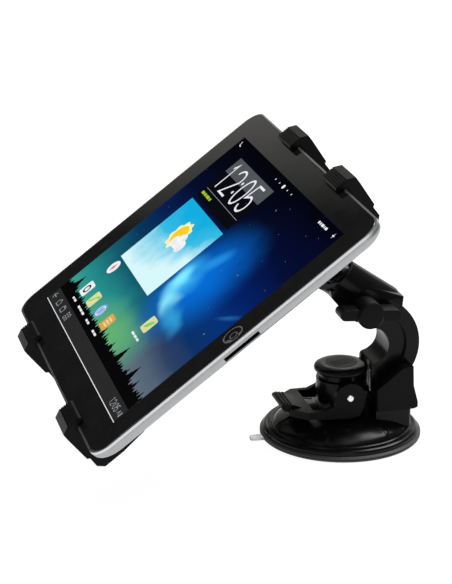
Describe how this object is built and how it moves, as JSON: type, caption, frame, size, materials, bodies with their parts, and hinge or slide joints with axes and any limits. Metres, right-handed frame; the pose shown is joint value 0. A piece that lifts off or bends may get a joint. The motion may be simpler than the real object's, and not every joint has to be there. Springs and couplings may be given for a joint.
{
  "type": "portable gps navigator",
  "caption": "Tablet-size touch-screen navigator clamped by its long edges in a four-claw holder on a ball joint, C-shaped arm and lever-locked suction base.",
  "frame": {"origin": "centre of the suction pad's sealing face, on the surface that it holds to", "axes": "+Z out of that surface, -Y towards the driver, where the screen faces, +X to the driver's right"},
  "size_m": [0.2431, 0.2238, 0.1713],
  "materials": {
    "gloss_black": "glossy moulded black",
    "satin_black": "fine textured black",
    "grip_rubber": "matte black rubber",
    "pad_rubber": "smooth dark rubber",
    "clear_tab": "milky grey",
    "screw_steel": "zinc plated",
    "pin_steel": "polished",
    "spring_steel": "drawn wire",
    "liner_nylon": "natural nylon",
    "case_silver": "bead blasted",
    "trim_chrome": "polished",
    "screen_glass": "black-backed glass, opaque border",
    "display": "display stack",
    "battery_foil": "laminate pouch",
    "board_green": "solder mask",
    "foam": "closed-cell foam"
  },
  "bodies": {
    "base": {"suction_pad": "pad_rubber", "pull_tab": "clear_tab", "base_housing": "gloss_black", "arm_bracket": "satin_black", "bracket_screws": "screw_steel", "pivot_bolt": "screw_steel", "pivot_nut": "screw_steel"},
    "stem": {"suction_stem": "satin_black", "stem_spring": "spring_steel"},
    "lever": {"lever": "satin_black", "lever_pin": "pin_steel", "lever_cam": "screw_steel"},
    "top_knob": {"top_knob": "gloss_black", "knob_inlay": "satin_black"},
    "arm": {"arm_half_near": "gloss_black", "arm_half_far": "gloss_black", "arm_screws": "screw_steel", "clamp_nut": "screw_steel", "pivot_washers": "screw_steel"},
    "wing_knob": {"wing_knob": "satin_black", "wing_bolt": "screw_steel"},
    "ball_seat": {"ball_liner": "liner_nylon"},
    "ball_stud": {"ball_stud": "gloss_black", "stud_washer": "screw_steel", "stud_nut": "screw_steel"},
    "holder": {"holder_back": "satin_black", "holder_front": "satin_black", "holder_screws": "screw_steel", "back_pads": "foam", "upper_claw_near": "satin_black", "upper_claw_far": "satin_black", "upper_claw_pads": "grip_rubber"},
    "lower_jaw": {"lower_jaw": "satin_black", "lower_claw_near": "satin_black", "lower_claw_far": "satin_black", "lower_claw_pads": "grip_rubber"},
    "release_button": {"release_button": "gloss_black", "release_spring": "spring_steel"},
    "tablet": {"rear_shell": "case_silver", "bezel_ring": "trim_chrome", "front_glass": "screen_glass", "lcd_panel": "display", "battery": "battery_foil", "mainboard": "board_green", "dock_connector": "screw_steel", "speaker": "satin_black"},
    "home_button": {"home_button": "screen_glass"},
    "power_button": {"power_button": "satin_black"},
    "volume_rocker": {"volume_rocker": "satin_black"}
  },
  "joints": [
    {"name": "lever_swing", "type": "hinge", "parent": "base", "child": "lever", "pos_m": [0, 0, 0.028], "axis": [-1, 0, 0], "range_deg": [0, 75]},
    {"name": "stem_drop", "type": "slide", "parent": "base", "child": "stem", "axis": [0, 0, -1], "range_m": [0, 0.00213], "deforming": ["stem_spring"]},
    {"name": "knob_turn", "type": "hinge", "parent": "base", "child": "top_knob", "pos_m": [0, 0, 0.041], "axis": [0, 0, 1], "range_deg": [0, 90]},
    {"name": "arm_raise", "type": "hinge", "parent": "base", "child": "arm", "pos_m": [0, 0.027, 0.0295], "axis": [-1, 0, 0], "range_deg": [0, 35]},
    {"name": "wing_turn", "type": "hinge", "parent": "arm", "child": "wing_knob", "pos_m": [0.02, 0.009, 0.08], "axis": [1, 0, 0], "continuous": true},
    {"name": "ball_pan", "type": "hinge", "parent": "arm", "child": "ball_seat", "pos_m": [0, -0.0007, 0.0952], "axis": [0, 0.7993, 0.601], "range_deg": [-12, 12]},
    {"name": "ball_tilt", "type": "hinge", "parent": "ball_seat", "child": "ball_stud", "pos_m": [0, -0.0007, 0.0952], "axis": [-1, 0, 0], "range_deg": [-5, 15]},
    {"name": "holder_roll", "type": "hinge", "parent": "ball_stud", "child": "holder", "pos_m": [0, -0.0007, 0.0952], "axis": [0, 0.601, -0.7993], "range_deg": [-90, 90]},
    {"name": "jaw_slide", "type": "slide", "parent": "holder", "child": "lower_jaw", "axis": [0, -0.7993, -0.601], "range_m": [0, 0.025]},
    {"name": "release_press", "type": "slide", "parent": "holder", "child": "release_button", "axis": [-1, 0, 0], "range_m": [0, 0.0016], "stiffness_N_per_m": 600, "deforming": ["release_spring"]},
    {"name": "tablet_slide", "type": "slide", "parent": "holder", "child": "tablet", "axis": [-1, 0, 0], "range_m": [0, 0.25]},
    {"name": "home_press", "type": "slide", "parent": "tablet", "child": "home_button", "axis": [0, 0.601, -0.7993], "range_m": [0, 0.0006], "stiffness_N_per_m": 800},
    {"name": "power_press", "type": "slide", "parent": "tablet", "child": "power_button", "axis": [1, 0, 0], "range_m": [0, 0.0003], "stiffness_N_per_m": 800},
    {"name": "volume_rock", "type": "hinge", "parent": "tablet", "child": "volume_rocker", "pos_m": [-0.0855, -0.01701, 0.16049], "axis": [0, -0.601, 0.7993], "range_deg": [-1, 1], "stiffness_Nm_per_rad": 0.4}
  ],
  "couplings": [
    {"joint": "lever_swing", "follows": "stem_drop", "rad_per_m": 614.5}
  ]
}
